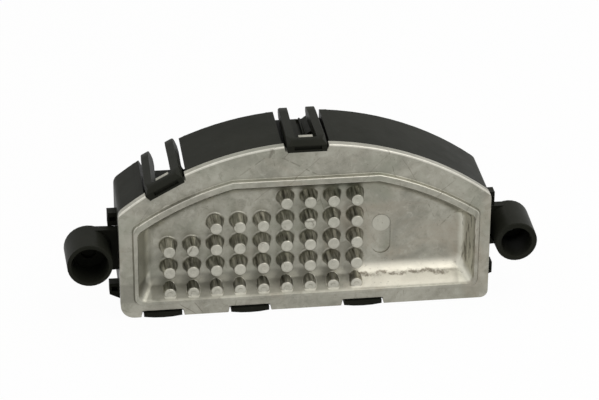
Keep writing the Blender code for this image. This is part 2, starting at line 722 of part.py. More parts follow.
def make_transistor(name, x, material):
    """Power transistor lying on the sink, its three leads bent back through the board."""
    half = TRANSISTOR_WIDTH / 2
    front, back = TRANSISTOR_FRONT, TRANSISTOR_FRONT + TRANSISTOR_THICK
    low, high = TRANSISTOR_LOW, TRANSISTOR_LOW + TRANSISTOR_HEIGHT
    outline = [(x - half, low), (x + half, low), (x + half, high), (x - half, high)]
    inner = [(x - half + 0.4, low + 0.4), (x + half - 0.4, low + 0.4), (x + half - 0.4, high - 0.4),
             (x - half + 0.4, high - 0.4)]
    body = loft(name, [ring(outline, front), ring(outline, back - 0.8), ring(inner, back)], material)
    middle = front + TRANSISTOR_THICK / 2
    thick = LEAD_THICK / 2
    bend = TRANSISTOR_LOW - LEAD_DROP
    for step in (-1, 0, 1):
        centre = x + step * LEAD_PITCH
        side = [(middle - thick, low + 0.5), (middle - thick, bend - thick), (BOARD_BACK + 1.2, bend - thick),
                (BOARD_BACK + 1.2, bend + thick), (middle + thick, bend + thick), (middle + thick, low + 0.5)]
        loops = [[(centre + u, y, z) for y, z in side] for u in (-LEAD_WIDTH / 2, LEAD_WIDTH / 2)]
        join(body, loft("lead", loops))
    return body


def make_thermal_pad(name, x, material):
    half = TRANSISTOR_WIDTH / 2 + PAD_MARGIN
    low = TRANSISTOR_LOW - PAD_MARGIN
    high = TRANSISTOR_LOW + TRANSISTOR_HEIGHT + PAD_MARGIN
    return box(name, (x - half, x + half), (PAD_FRONT, PAD_FRONT + PAD_THICK), (low, high), material)


def make_clamp(material):
    outline = rounded_box_outline(0.0, CLAMP_Z, CLAMP_LENGTH, CLAMP_HEIGHT, 1.5)
    clamp = prism("clamp_spring", outline, CLAMP_FRONT, CLAMP_FRONT + CLAMP_THICK, material)
    radius = SCREW_DIAMETER / 2 + FIT_GAP
    hole = turned("hole", 0.0, CLAMP_Z, ((radius, CLAMP_FRONT - 1), (radius, CLAMP_FRONT + 2)), 16)
    cut(clamp, hole)
    return clamp


def make_screw(name, x, z, seat, head, material):
    """Pan-head screw with a cross recess, its head's underside at seat."""
    shank = SCREW_DIAMETER / 2
    top = seat + SCREW_HEAD_HEIGHT
    screw = turned(name, x, z, ((shank - 0.4, seat - SCREW_BITE), (shank, seat - SCREW_BITE + 0.6),
                                (shank, seat), (head / 2, seat), (head / 2, seat + 0.9),
                                (head / 2 - 0.5, top - 0.2), (head / 2 - 1.2, top)), 16, material)
    arm = head * 0.28
    for wide, tall in ((arm, 0.35), (0.35, arm)):
        cut(screw, box("recess", (x - wide, x + wide), (top - 0.9, top + 1), (z - tall, z + tall)))
    return screw


def make_can(name, x, z, material):
    """Electrolytic can standing on the back of the board, with the groove near its base."""
    base = BOARD_BACK + FIT_GAP
    top = base + CAN_HEIGHT
    half = CAN_DIAMETER / 2
    return turned(name, x, z, ((half, base), (half, base + 0.7), (half - 0.35, base + 1.1), (half, base + 1.5),
                               (half, top - 0.4), (half - 0.4, top)), 24, material)


def make_choke(material):
    base = BOARD_BACK + FIT_GAP
    top = base + CHOKE_HEIGHT
    half = CHOKE_DIAMETER / 2
    waist = half - 1.0
    return turned("choke", CHOKE_X, CHOKE_Z, ((half, base), (half, base + 0.9), (waist, base + 1.2),
                                              (waist, top - 1.2), (half, top - 0.9), (half, top)), 24, material)


def make_shunt(material):
    """Bent metal strip standing on the board like a staple."""
    base = BOARD_BACK + FIT_GAP
    top = base + SHUNT_HEIGHT
    half = SHUNT_LENGTH / 2
    side = [(-half, base), (-half + 1.6, base), (-half + 2.4, top - SHUNT_THICK), (half - 2.4, top - SHUNT_THICK),
            (half - 1.6, base), (half, base), (half, base + SHUNT_THICK), (half - 1.2, base + SHUNT_THICK),
            (half - 2.0, top), (-half + 2.0, top), (-half + 1.2, base + SHUNT_THICK), (-half, base + SHUNT_THICK)]
    loops = [[(SHUNT_X + u, y, SHUNT_Z + level) for u, y in side]
             for level in (-SHUNT_WIDTH / 2, SHUNT_WIDTH / 2)]
    return loft("shunt_resistor", loops, material)


def make_chip(material):
    base = BOARD_BACK + FIT_GAP
    outline = rounded_box_outline(CHIP_X, CHIP_Z, CHIP_LENGTH, CHIP_WIDTH, 0.3, 1)
    inner = rounded_box_outline(CHIP_X, CHIP_Z, CHIP_LENGTH - 0.5, CHIP_WIDTH - 0.5, 0.3, 1)
    return loft("control_chip", [ring(inner, base), ring(outline, base + CHIP_HEIGHT / 2),
                                 ring(inner, base + CHIP_HEIGHT)], material)


def main():
    clear_scene()
    root = bpy.data.objects.new("blower_resistor", None)
    bpy.context.scene.collection.objects.link(root)
    root.location = (0.0, -TOTAL_MIDDLE * MM, 0.0)

    aluminium = make_material("cast_aluminium", (0.60, 0.59, 0.56), 0.42, 1.0)
    plastic = make_material("black_plastic", (0.035, 0.036, 0.035), 0.45, 0.0)
    green = make_material("board_green", (0.02, 0.16, 0.07), 0.5, 0.0)
    package = make_material("package_black", (0.03, 0.03, 0.03), 0.6, 0.0)
    silicone = make_material("silicone_grey", (0.45, 0.47, 0.5), 0.8, 0.0)
    steel = make_material("zinc_steel", (0.62, 0.63, 0.65), 0.35, 1.0)
    can = make_material("can_aluminium", (0.75, 0.76, 0.78), 0.3, 1.0)
    ferrite = make_material("ferrite_grey", (0.1, 0.1, 0.11), 0.7, 0.0)
    resistor_metal = make_material("resistor_alloy", (0.5, 0.44, 0.36), 0.4, 1.0)
    tin = make_material("tinned_brass", (0.72, 0.7, 0.66), 0.3, 1.0)

    items = [make_heat_sink(aluminium), make_housing(plastic), make_board(green)]
    for i, x in enumerate(TRANSISTOR_X):
        items.append(make_transistor(f"power_transistor_{i + 1}", x, package))
        items.append(make_thermal_pad(f"thermal_pad_{i + 1}", x, silicone))
    items.append(make_clamp(steel))
    items.append(make_screw("clamp_screw", 0.0, CLAMP_Z, CLAMP_FRONT + CLAMP_THICK + FIT_GAP, CLAMP_SCREW_HEAD,
                            steel))
    for i, (x, z) in enumerate(BOARD_BOSSES):
        items.append(make_screw(f"board_screw_{i + 1}", x, z, BOARD_BACK + FIT_GAP, SCREW_HEAD, steel))
    for i, (x, z) in enumerate(CAPACITORS):
        items.append(make_can(f"capacitor_{i + 1}", x, z, can))
    items.append(make_choke(ferrite))
    items.append(make_shunt(resistor_metal))
    items.append(make_chip(package))
    for name, x, width in blade_places():
        items.append(make_blade(name, x, width, tin))
    for item in items:
        finish(item, root)


main()
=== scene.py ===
# Looks of the blower motor resistor: a stained cast aluminium heat sink in a satin black housing.
# Sizes are in millimetres in the part's own frame and become metres when a mesh is made.
import math

import bpy
import bmesh
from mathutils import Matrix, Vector


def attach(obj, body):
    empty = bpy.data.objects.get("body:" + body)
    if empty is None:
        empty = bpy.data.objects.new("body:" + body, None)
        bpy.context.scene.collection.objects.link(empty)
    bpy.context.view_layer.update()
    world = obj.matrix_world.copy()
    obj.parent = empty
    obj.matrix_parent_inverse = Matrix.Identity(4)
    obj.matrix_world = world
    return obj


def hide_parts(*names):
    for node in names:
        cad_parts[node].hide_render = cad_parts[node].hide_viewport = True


MM = 0.001
FRONT_SHIFT = -16.75
CUT_OVER = 1.0
WELD = 0.01

# Flange of the heat sink
PLATE_LEFT = 51.3
PLATE_RIGHT = 51.8
PLATE_THICK = 2.5
ARCH = (0.5, -32.0)
ARCH_RADIUS = 82.3
PLATE_CORNER = 3.0
PLATE_FEET = (3.8, 2.2)
PLATE_OPENING = 0.9
EDGE_ROUND = 0.42
SLIVER = 0.03

# Rim and dish
RIM_LEFT = 47.7
RIM_RIGHT = 48.8
RIM_BOTTOM = 4.0
RIM_TOP = 40.9
RIM_ARCH = (0.3, -39.6)
RIM_ARCH_RADIUS = 83.0
RIM_HEIGHT = 1.25
RIM_SLOPE = 0.45
RIM_LAND = 0.9
RIM_LAND_TOP = 1.6
RIM_CORNER = 2.2
DISH_DEPTH = 5.0
DISH_DRAFT = 24.0
DISH_FILLET = 3.5
DISH_LOW_EXTRA = 1.3
DISH_WALL = (DISH_DEPTH + RIM_HEIGHT) * math.tan(math.radians(DISH_DRAFT))
DISH_FLOOR_INSET = 7.6
SINK_CUT = 7.0

# Foot of the rim just inside the flange, and the rounding of its root, outer edge and inner edge
RIM_SKIRT = (-0.7, 0.03)
RIM_ROUNDS = (0.25, 0.3, 0.4)

# Outside of the dish: inset and depth
DISH_BACK = ((3.4, SINK_CUT + 0.4), (2.4, 6.7), (0.5, 2.2), (0.0, 0.6))

# Cooling pins
PIN_COUNTS = (4, 7, 9, 9, 9)
PIN_PITCH = 6.5
PIN_BASE = 2.35
PIN_TIP = 1.68
PIN_END = -0.2
PIN_LAST_X = 14.45
PIN_TOP_Z = 32.75
PIN_SIDES = 28
PIN_FILLET = 0.65
PIN_SKIRT = 0.9
PIN_END_ROUND = 0.42
PIN_TAPER = (PIN_BASE - PIN_TIP) / (DISH_DEPTH - PIN_END)
DIMPLE_RADII = (0.85, 0.5)
DIMPLE_DEPTH = 0.16
DIMPLE_ROUND = 0.3

# Shallow pad with the round mark in it
PAD_X = 21.9
PAD_LOW = 16.0
PAD_HIGH = 22.9
PAD_RADIUS = 2.65
PAD_DEPTH = 0.35
MARK_Z = PAD_HIGH - 0.2
MARK_RADII = (2.6, 2.52)
MARK_RISE = 0.12
MARK_ROUND = 0.08

# Notches and teeth round the flange
TOP_TILTS = (-0.15, -28.3)
NOTCH_HALF = 5.7
NOTCH_DEPTH = 1.6
NOTCH_SLANT = 0.6
HOOK_X = (-39.65, -15.4, 16.25)
HOOK_HALF = 5.6
HOOK_TOP = 1.9
TOOTH_HALF = 2.0
TOOTH_SHIFT = 0.1
TOOTH_ROUND = 0.18
TOOTH_ROOT = -NOTCH_DEPTH - 0.9
TOOTH_STEP = -NOTCH_DEPTH - 0.1

# Sections of the teeth: depth and height over the edge or over the bottom
TOP_TOOTH = ((1.7, TOOTH_ROOT), (5.0, TOOTH_ROOT), (5.0, 0.4), (4.3, 1.1), (2.3, 1.1), (2.3, TOOTH_STEP),
             (1.7, TOOTH_STEP))
LOW_TOOTH = ((1.6, 2.8), (1.6, 1.0), (3.4, 1.0), (4.1, 2.8))

# Snap bars and the pocket of the middle one: outlines across and out from the arched edge
BAR_RECESS = ((-3.5, -0.8), (4.0, -0.8), (4.0, 0.3), (-3.5, 0.3))
BAR_FRONT = -1.5
BAR_RECESS_DEPTH = 0.7
POCKET_GROOVE = ((-0.15, -4.0), (0.6, -4.0), (0.6, -3.0), (-0.15, -3.0))
POCKET_RIB = ((0.62, -3.9), (3.2, -3.9), (3.2, -2.0), (1.5, -3.25), (1.2, -3.2), (1.0, -2.9), (0.62, -2.9))
RIB_FRONT = 13.5
POCKET_BACK = 24.0
GROOVE_BACK = 23.4
RIB_ROUND = 0.12
HOUSING_ROUND = 0.22

# Scratches on the metal: start, end and strength
SCRATCHES = (
    ((3.6, 45.8), (-13.2, 32.0), 0.7),
    ((-34.5, 3.2), (-31.2, 0.8), 1.3),
    ((-30.6, 3.4), (-28.8, 1.0), 1.1),
    ((27.0, 44.0), (30.4, 38.2), 0.8),
    ((14.2, 37.5), (22.5, 46.0), 0.5),
    ((-47.0, 27.0), (-43.0, 33.5), 0.6),
    ((36.0, 33.0), (41.0, 36.8), 0.8),
)

# Thin web behind the left tube's bore, which looks dark from the front
TUBE_X = -59.4
TUBE_Z = 17.5
WEB_RADIUS = 2.5
WEB_FRONT = 9.4
WEB_BACK = 10.0

# Places on the metal in the part's frame: low, high and fade along each axis, or of one measure in a band
PIN_FIELD = {"x": (-40.5, 17.0, 0.8), "z": (4.0, 35.2, 1.0)}
# Pin tips and pin sides, which get a painted highlight and painted reflections
PIN_TIP_ZONE = {"y": (-17.2, -16.5, 0.5)}
PIN_SIDE_ZONE = {"y": (-16.3, -12.6, 0.4)}
PIN_MARGIN = 0.04
PIN_FADE = 0.08
MARK_ZONE = {"y": (-13.0, -10.0, 0.3)}
MARK_REACH = 2.5
MARK_FADE = 0.1
# Walls which get painted highlights, and at the lower left painted shade
RIGHT_WALL = {"x": (43.6, 46.8, 0.6), "y": (-17.2, -12.5, 0.6), "z": (5.5, 28.0, 1.0)}
LEFT_WALL = {"x": (-45.9, -43.0, 0.6), "y": (-17.2, -12.5, 0.6), "z": (5.5, 28.0, 1.0)}
LOW_WALL_HIGHLIGHT_ZONE = {"x": (17.0, 41.5, 4.0), "y": (-17.2, -12.1, 0.4), "z": (5.5, 10.5, 1.0)}
LOW_WALL_SHADE_ZONE = {"x": (-50.0, 8.0, 6.0), "y": (-17.2, -12.1, 0.4), "z": (5.0, 10.0, 1.0)}
# Bands on the flange's arched edge and the rim's crest, which get painted highlight lines
PLATE_EDGE_BAND = (81.9, 82.4, 0.1)
PLATE_EDGE_ZONE = {"y": (-16.8, -16.3, 0.1)}
RIM_CREST = {"y": (-17.9, -17.65, 0.06), "z": (22.0, 50.0, 6.0)}
FLOW_BAND = (8.0, 8.3, 0.3)
FLOW_ZONE = {"x": (13.5, 39.0, 4.0), "y": (-16.5, -12.1, 0.4)}
FLOW_SWAY = 1.6
WORN_EDGE = {"x": (45.0, 47.6, 0.8), "z": (10.0, 26.0, 3.0)}
SCRATCH_BAND = (-0.04, 0.04, 0.12)
SCRATCH_SWAY = 0.4
SCRATCH_END_FADE = 1.0

# Colours of the metal, among them painted highlights, painted reflections and painted shade
CLOUD_DARK = (0.25, 0.245, 0.205)
CLOUD_MIDDLE = (0.33, 0.32, 0.268)
CLOUD_PALE = (0.42, 0.41, 0.35)
BLOTCH_DARK = (0.21, 0.205, 0.165)
BLOTCH_PALE = (0.43, 0.42, 0.36)
STAIN_BROWN = (0.31, 0.265, 0.205)
STAIN_GREEN = (0.24, 0.255, 0.20)
# Painted highlight on the pin tips, and pale and dark painted reflections streaking the pin sides
TIP_HIGHLIGHT = (0.58, 0.565, 0.49)
REFLECTION_STREAK_PALE = (0.72, 0.70, 0.62)
REFLECTION_STREAK_DARK = (0.09, 0.085, 0.065)
MARK_PALE = (0.50, 0.49, 0.42)
# Painted highlights on the end walls and lower right wall, and painted shade on the lower left wall
END_WALL_HIGHLIGHT = (0.66, 0.65, 0.56)
LOW_WALL_HIGHLIGHT = (0.66, 0.63, 0.54)
LOW_WALL_SHADE = (0.17, 0.165, 0.135)
# Painted highlight on the arched edges
EDGE_HIGHLIGHT = (0.74, 0.72, 0.64)
SCRATCH_DARK = (0.12, 0.10, 0.08)
HAIR_DARK = (0.15, 0.14, 0.11)
FLOW_DARK = (0.13, 0.11, 0.08)
PIT_DARK = (0.13, 0.12, 0.095)
WORN_DARK = (0.16, 0.15, 0.12)

# Colours of the plastic
PLASTIC_DARK = (0.0165, 0.0173, 0.0130)
PLASTIC_PALE = (0.0225, 0.0232, 0.0178)
DUST = (0.05, 0.05, 0.045)
PLASTIC_SPECULAR = 0.03

# Lamps in metres, facing straight down: name, place, size, watts and colour
LAMPS = (
    ("overhead", (0.30, -0.20, 0.52), (0.46, 0.90), 2.7, (1.0, 0.985, 0.955)),
    ("left_overhead", (-0.40, -0.02, 0.50), (0.36, 0.56), 0.8, (1.0, 1.0, 1.0)),
)
SKY = (0.30, 0.30, 0.29)
WHITE = (1.0, 1.0, 1.0)
FLOOR_COLOUR = (0.86, 0.86, 0.85)
FLOOR_GLOW = 0.97
FLOOR_HALF = 4.0
FLOOR_DROP = 0.0001

# Camera in metres, degrees and millimetres of lens
CAMERA_PLACE = (-0.08391, -0.64572, 0.35311)
CAMERA_TURN = (63.279, -0.2073, -7.3458)
CAMERA_LENS = 156.26
CAMERA_SENSOR = 36.0
CAMERA_NEAR = 0.05

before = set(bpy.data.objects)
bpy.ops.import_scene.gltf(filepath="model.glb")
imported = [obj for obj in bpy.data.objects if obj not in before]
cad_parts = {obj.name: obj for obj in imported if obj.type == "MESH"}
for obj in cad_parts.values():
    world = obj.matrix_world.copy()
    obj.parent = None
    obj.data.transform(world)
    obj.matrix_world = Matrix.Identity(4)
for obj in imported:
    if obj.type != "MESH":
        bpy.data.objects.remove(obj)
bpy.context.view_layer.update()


# Shapes

def arc(x, z, radius, start, end, steps):
    """Points on an arc in the XZ plane, angles in degrees from +X towards +Z."""
    points = []
    for i in range(steps + 1):
        angle = math.radians(start + (end - start) * i / steps)
        points.append((x + radius * math.cos(angle), z + radius * math.sin(angle)))
    return points


def arched_outline(left, right, low, radius, centre, corner, feet, flat=None, steps=7, arch_steps=36):
    """Level bottom, upright sides and an arched top, cut level at height flat if given."""
    middle, level = centre
    points = arc(right - feet[1], low + feet[1], feet[1], -90, 0, steps)
    x = right - middle - corner
    z = level + math.sqrt((radius - corner) ** 2 - x * x)
    lean = math.degrees(math.atan2(z - level, x))
    points += arc(middle + x, z, corner, 0, lean, steps)
    stop = 90.0
    if flat is not None:
        stop = math.degrees(math.asin((flat - level) / radius))
    points += arc(middle, level, radius, lean, stop, arch_steps)[1:]
    x = left + middle - corner
    z = level + math.sqrt((radius - corner) ** 2 - x * x)
    lean = math.degrees(math.atan2(z - level, x))
    other = arc(middle, level, radius, 180 - stop, 180 - lean, arch_steps)[:-1]
    if flat is None:
        other = other[1:]
    points += other
    points += arc(middle - x, z, corner, 180 - lean, 180, steps)
    points += arc(-(left - feet[0]), low + feet[0], feet[0], 180, 270, steps)
    return points


def plate_outline():
    return arched_outline(PLATE_LEFT, PLATE_RIGHT, 0.0, ARCH_RADIUS, ARCH, PLATE_CORNER, PLATE_FEET)


def rim_outline(inset):
    """Outline inset from the rim's foot. Its top lies further in past the crest, and the low wall leans."""
    crest_share = min(max((inset - RIM_SLOPE) / RIM_LAND, 0.0), 1.0)
    top = inset + (RIM_LAND_TOP - RIM_LAND) * crest_share
    wall_share = min(max((inset - RIM_SLOPE - RIM_LAND) / DISH_WALL, 0.0), 1.0)
    low = inset + DISH_LOW_EXTRA * wall_share
    return arched_outline(RIM_LEFT - inset, RIM_RIGHT - inset, RIM_BOTTOM + low, RIM_ARCH_RADIUS - top,
                          RIM_ARCH, RIM_CORNER, (RIM_CORNER, RIM_CORNER), flat=RIM_TOP - top, arch_steps=20)


def on_arch(tilt, across, out):
    """XZ point beside the arched edge: across it to the right, and out from it."""
    angle = math.radians(tilt)
    radius = ARCH_RADIUS + out
    x = ARCH[0] + radius * math.sin(angle) + across * math.cos(angle)
    z = ARCH[1] + radius * math.cos(angle) - across * math.sin(angle)
    return x, z


def rounded(corners, steps):
    """Line through corners (across, along, radius) with every inner corner rounded."""
    points = [corners[0][:2]]
    for before, here, after in zip(corners, corners[1:], corners[2:]):
        corner = Vector(here[:2])
        first = (Vector(before[:2]) - corner).normalized()
        second = (Vector(after[:2]) - corner).normalized()
        half = first.angle(second) / 2
        centre = corner + (first + second).normalized() * (here[2] / math.sin(half))
        reach = here[2] / math.tan(half)
        start = corner + first * reach - centre
        end = corner + second * reach - centre
        begin = math.atan2(start.y, start.x)
        turn = math.atan2(end.y, end.x) - begin
        turn = (turn + math.pi) % (2 * math.pi) - math.pi
        for i in range(steps + 1):
            angle = begin + turn * i / steps
            points.append((centre.x + here[2] * math.cos(angle), centre.y + here[2] * math.sin(angle)))
    points.append(corners[-1][:2])
    return points


def ring(outline, y):
    return [(x, y, z) for x, z in outline]


def add_loft(bm, rings):
    """Skin rings of equally many points and cap both ends."""
    loops = [[bm.verts.new(point) for point in points] for points in rings]
    count = len(loops[0])
    for lower, upper in zip(loops, loops[1:]):
        for i in range(count):
            j = (i + 1) % count
            bm.faces.new((lower[i], lower[j], upper[j], upper[i]))
    bm.faces.new(list(reversed(loops[0])))
    bm.faces.new(loops[-1])


def linked_object(name, bm):
    """Object from a bmesh in metres, linked to the scene."""
    mesh = bpy.data.meshes.new(name)
    bm.to_mesh(mesh)
    bm.free()
    item = bpy.data.objects.new(name, mesh)
    bpy.context.scene.collection.objects.link(item)
    return item


def mesh_object(name, bm):
    """Object from a bmesh in millimetres, with the flange's face at y 0."""
    for vertex in bm.verts:
        vertex.co.y += FRONT_SHIFT
        vertex.co *= MM
    bmesh.ops.recalc_face_normals(bm, faces=bm.faces)
    return linked_object(name, bm)


def prism(name, outline, front, back):
    bm = bmesh.new()
    add_loft(bm, [ring(outline, front), ring(outline, back)])
    return mesh_object(name, bm)


def apply_modifiers(item):
    graph = bpy.context.evaluated_depsgraph_get()
    result = bpy.data.meshes.new_from_object(item.evaluated_get(graph))
    item.modifiers.clear()
    item.data = result


def cut(target, tool):
    modifier = target.modifiers.new("cut", 'BOOLEAN')
    modifier.operation = 'DIFFERENCE'
    modifier.solver = 'EXACT'
    modifier.object = tool
    apply_modifiers(target)
    bpy.data.objects.remove(tool, do_unlink=True)


def round_edges(item, width, segments=3, angle=40.0):
    modifier = item.modifiers.new("round", 'BEVEL')
    modifier.width = width * MM
    modifier.segments = segments
    modifier.limit_method = 'ANGLE'
    modifier.angle_limit = math.radians(angle)
    apply_modifiers(item)


def drop_slivers(item, width):
    """Close up faces narrower than width."""
    bm = bmesh.new()
    bm.from_mesh(item.data)
    bmesh.ops.remove_doubles(bm, verts=bm.verts, dist=width * MM)
    bmesh.ops.dissolve_degenerate(bm, edges=bm.edges, dist=width * MM)
    bm.to_mesh(item.data)
    bm.free()


def merge(name, items):
    """One object from several, which are dropped."""
    bm = bmesh.new()
    for item in items:
        bm.from_mesh(item.data)
        bpy.data.objects.remove(item, do_unlink=True)
    return linked_object(name, bm)


def shade(item, angle):
    item.data.shade_smooth()
    item.data.set_sharp_from_angle(angle=math.radians(angle))
    modifier = item.modifiers.new("normals", 'WEIGHTED_NORMAL')
    modifier.keep_sharp = True


# Heat sink

def make_flange():
    flange = prism("flange", plate_outline(), 0.0, PLATE_THICK)
    cut(flange, prism("opening", rim_outline(PLATE_OPENING), -CUT_OVER, PLATE_THICK + CUT_OVER))
    for tilt in TOP_TILTS:
        wide = NOTCH_HALF + NOTCH_SLANT
        corners = ((-NOTCH_HALF, -NOTCH_DEPTH), (NOTCH_HALF, -NOTCH_DEPTH),
                   (wide, CUT_OVER), (-wide, CUT_OVER))
        notch = [on_arch(tilt, across, out) for across, out in corners]
        cut(flange, prism("notch", notch, -CUT_OVER, PLATE_THICK + CUT_OVER))
    for x in HOOK_X:
        low = HOOK_HALF + NOTCH_SLANT
        notch = [(x - low, -CUT_OVER), (x + low, -CUT_OVER),
                 (x + HOOK_HALF, HOOK_TOP), (x - HOOK_HALF, HOOK_TOP)]
        cut(flange, prism("notch", notch, -CUT_OVER, PLATE_THICK + CUT_OVER))
    round_edges(flange, EDGE_ROUND)
    drop_slivers(flange, SLIVER)
    return flange


def make_dish():
    """Rim and dish as one closed shell, with the pad sunk into its floor."""
    crest = RIM_SLOPE + RIM_LAND
    root, outer, inner = RIM_ROUNDS
    corners = [(*RIM_SKIRT, 0), (0.0, 0.0, root), (RIM_SLOPE, -RIM_HEIGHT, outer),
               (crest, -RIM_HEIGHT, inner), (crest + DISH_WALL, DISH_DEPTH, DISH_FILLET),
               (DISH_FLOOR_INSET, DISH_DEPTH, 0)]
    bm = bmesh.new()
    add_loft(bm, [ring(rim_outline(inset), y) for inset, y in (*DISH_BACK, *rounded(corners, 6))])
    dish = mesh_object("dish", bm)
    pad = arc(PAD_X, PAD_HIGH, PAD_RADIUS, 0, 180, 24) + arc(PAD_X, PAD_LOW, PAD_RADIUS, 180, 360, 24)
    cut(dish, prism("pad", pad, DISH_DEPTH - CUT_OVER, DISH_DEPTH + PAD_DEPTH))
    return dish


def turned(bm, x, z, profile, sides):
    rings = []
    for radius, y in profile:
        rings.append(ring(arc(x, z, radius, 0, 360 - 360 / sides, sides - 1), y))
    add_loft(bm, rings)


def make_pins():
    """Tapered pins with a fillet at the root, a rounded end and a shallow dimple in it."""
    wide, narrow = DIMPLE_RADII
    low = PIN_END + DIMPLE_DEPTH
    profile = rounded([(PIN_BASE + PIN_SKIRT, DISH_DEPTH + 0.04, 0), (PIN_BASE, DISH_DEPTH, PIN_FILLET),
                       (PIN_TIP, PIN_END, PIN_END_ROUND), (wide, PIN_END, DIMPLE_ROUND),
                       (narrow, low, DIMPLE_ROUND), (0.05, low, 0)], 4)
    bm = bmesh.new()
    for row, count in enumerate(PIN_COUNTS):
        for column in range(count):
            turned(bm, PIN_LAST_X - column * PIN_PITCH, PIN_TOP_Z - row * PIN_PITCH, profile, PIN_SIDES)
    return mesh_object("pins", bm)


def make_mark():
    """Round ejector mark standing a little proud of the pad."""
    low = DISH_DEPTH + PAD_DEPTH
    top = low - MARK_RISE
    foot, edge = MARK_RADII
    bm = bmesh.new()
    profile = rounded([(foot, low + 0.05, 0), (edge, top, MARK_ROUND), (0.1, top, 0)], 3)
    turned(bm, PAD_X, MARK_Z, profile, 48)
    return mesh_object("mark", bm)


def make_teeth():
    bm = bmesh.new()
    for tilt in TOP_TILTS:
        loops = []
        for side in (-TOOTH_HALF, TOOTH_HALF):
            points = [(y, on_arch(tilt, TOOTH_SHIFT + side, out)) for y, out in TOP_TOOTH]
            loops.append([(point[0], y, point[1]) for y, point in points])
        add_loft(bm, loops)
    for x in HOOK_X:
        add_loft(bm, [[(x + side, y, z) for y, z in LOW_TOOTH] for side in (-TOOTH_HALF, TOOTH_HALF)])
    teeth = mesh_object("teeth", bm)
    round_edges(teeth, TOOTH_ROUND)
    return teeth


def make_back():
    """Back of the CAD sink with its screw bosses, cut off inside the dish's floor."""
    bm = bmesh.new()
    bm.from_mesh(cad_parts["heat_sink"].data)
    bmesh.ops.remove_doubles(bm, verts=bm.verts, dist=WELD * MM)
    parts = list(bm.verts) + list(bm.edges) + list(bm.faces)
    plane = (0, (SINK_CUT + FRONT_SHIFT) * MM, 0)
    bmesh.ops.bisect_plane(bm, geom=parts, plane_co=plane, plane_no=(0, 1, 0), clear_inner=True)
    open_edges = [edge for edge in bm.edges if edge.is_boundary]
    bmesh.ops.triangle_fill(bm, edges=open_edges, use_beauty=True)
    bmesh.ops.recalc_face_normals(bm, faces=bm.faces)
    return linked_object("back", bm)


def make_heat_sink():
    pieces = [make_flange(), make_dish(), make_back(), make_pins(), make_mark(), make_teeth()]
    sink = merge("heat_sink_fine", pieces)
    shade(sink, 35.0)
    return sink


# Housing

def snap_prism(tilt, outline, front, back):
    """Prism from an outline given across and out from the arched edge."""
    return prism("snap_prism", [on_arch(tilt, across, out) for across, out in outline], front, back)


def housing_copy():
    """The CAD housing's mesh, welded and with its flat faces joined."""
    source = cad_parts["housing"]
    item = bpy.data.objects.new("housing_fine", source.data.copy())
    bpy.context.scene.collection.objects.link(item)
    item.matrix_world = source.matrix_world
    bm = bmesh.new()
    bm.from_mesh(item.data)
    bmesh.ops.remove_doubles(bm, verts=bm.verts, dist=WELD * MM)
    bmesh.ops.dissolve_limit(bm, angle_limit=math.radians(1.0), verts=bm.verts, edges=bm.edges)
    bm.to_mesh(item.data)
    bm.free()
    item.data.materials.clear()
    return item


def make_housing():
    """Housing with rounded edges, recessed snap bars, the middle pocket's rib and groove, and the web."""
    item = housing_copy()
    for tilt in TOP_TILTS:
        cut(item, snap_prism(tilt, BAR_RECESS, BAR_FRONT - CUT_OVER, BAR_FRONT + BAR_RECESS_DEPTH))
    cut(item, snap_prism(TOP_TILTS[0], POCKET_GROOVE, RIB_FRONT, GROOVE_BACK))
    round_edges(item, HOUSING_ROUND, 2, 38.0)
    web = bmesh.new()
    turned(web, TUBE_X, TUBE_Z, [(WEB_RADIUS, WEB_FRONT), (WEB_RADIUS, WEB_BACK)], 32)
    rib = snap_prism(TOP_TILTS[0], POCKET_RIB, RIB_FRONT, POCKET_BACK)
    round_edges(rib, RIB_ROUND, 2)
    item = merge("housing_fine", [item, mesh_object("web", web), rib])
    shade(item, 40.0)
    return item


# Node helpers

